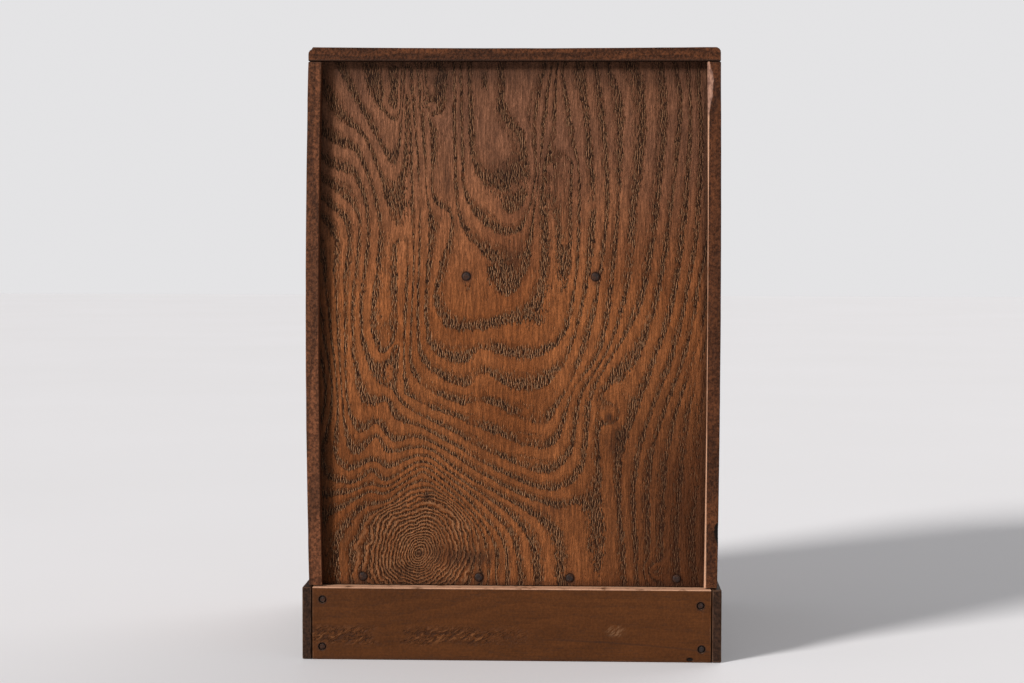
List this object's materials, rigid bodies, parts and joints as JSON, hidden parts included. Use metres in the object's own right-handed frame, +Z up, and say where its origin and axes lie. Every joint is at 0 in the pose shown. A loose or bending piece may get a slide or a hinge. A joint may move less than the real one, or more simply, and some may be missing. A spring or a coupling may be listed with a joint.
{
  "type": "type case",
  "caption": "Small upright wooden type case: nailed cabinet with recessed back panel, divided drawers with turned brass knobs, standing on a low plinth.",
  "frame": {"origin": "on the floor, under the middle of the whole object's bounding box", "axes": "+Z up; the back panel faces -Y and the drawers open towards +Y; +X is to the right of someone who looks at the back panel"},
  "size_m": [0.2176, 0.1988, 0.317],
  "materials": {
    "case_wood": "worn oil and grime over brown hardwood",
    "panel_wood": "thin worn stain over bold ring-porous grain",
    "plinth_wood": "dull brown stain",
    "drawer_front_wood": "thin worn stain",
    "drawer_wood": "bare, darkened with handling",
    "nail_iron": "dull dark iron with light rust",
    "knob_brass": "dull patina, brighter where it is held"
  },
  "bodies": {
    "case": {"left_side": "case_wood", "right_side": "case_wood", "top_board": "case_wood", "bottom_board": "case_wood", "middle_shelf": "case_wood", "back_panel": "panel_wood", "plinth_left": "plinth_wood", "plinth_right": "plinth_wood", "plinth_front": "plinth_wood", "plinth_back": "plinth_wood", "plinth_block_back_left": "drawer_wood", "plinth_block_back_right": "drawer_wood", "plinth_block_front_left": "drawer_wood", "plinth_block_front_right": "drawer_wood", "upper_left_runner": "drawer_wood", "upper_right_runner": "drawer_wood", "lower_left_runner": "drawer_wood", "lower_right_runner": "drawer_wood", "panel_nail_shelf_left": "nail_iron", "panel_nail_shelf_right": "nail_iron", "panel_nail_bottom_1": "nail_iron", "panel_nail_bottom_2": "nail_iron", "panel_nail_bottom_3": "nail_iron", "panel_nail_bottom_4": "nail_iron", "plinth_nail_upper_left": "nail_iron", "plinth_nail_lower_left": "nail_iron", "plinth_nail_upper_right": "nail_iron", "plinth_nail_lower_right": "nail_iron"},
    "drawer_1": {"drawer_1_front": "drawer_front_wood", "drawer_1_left": "drawer_wood", "drawer_1_right": "drawer_wood", "drawer_1_back": "drawer_wood", "drawer_1_bottom": "drawer_wood", "drawer_1_long_slat": "drawer_wood", "drawer_1_cross_slat_1": "drawer_wood", "drawer_1_cross_slat_2": "drawer_wood", "drawer_1_knob": "knob_brass"},
    "drawer_2": {"drawer_2_front": "drawer_front_wood", "drawer_2_left": "drawer_wood", "drawer_2_right": "drawer_wood", "drawer_2_back": "drawer_wood", "drawer_2_bottom": "drawer_wood", "drawer_2_long_slat": "drawer_wood", "drawer_2_cross_slat_1": "drawer_wood", "drawer_2_cross_slat_2": "drawer_wood", "drawer_2_knob": "knob_brass"},
    "drawer_3": {"drawer_3_front": "drawer_front_wood", "drawer_3_left": "drawer_wood", "drawer_3_right": "drawer_wood", "drawer_3_back": "drawer_wood", "drawer_3_bottom": "drawer_wood", "drawer_3_long_slat": "drawer_wood", "drawer_3_knob": "knob_brass"},
    "drawer_4": {"drawer_4_front": "drawer_front_wood", "drawer_4_left": "drawer_wood", "drawer_4_right": "drawer_wood", "drawer_4_back": "drawer_wood", "drawer_4_bottom": "drawer_wood", "drawer_4_long_slat": "drawer_wood", "drawer_4_knob": "knob_brass"}
  },
  "joints": [
    {"name": "drawer_1_slide", "type": "slide", "parent": "case", "child": "drawer_1", "axis": [0, 1, 0], "range_m": [0, 0.14]},
    {"name": "drawer_2_slide", "type": "slide", "parent": "case", "child": "drawer_2", "axis": [0, 1, 0], "range_m": [0, 0.14]},
    {"name": "drawer_3_slide", "type": "slide", "parent": "case", "child": "drawer_3", "axis": [0, 1, 0], "range_m": [0, 0.14]},
    {"name": "drawer_4_slide", "type": "slide", "parent": "case", "child": "drawer_4", "axis": [0, 1, 0], "range_m": [0, 0.14]}
  ]
}
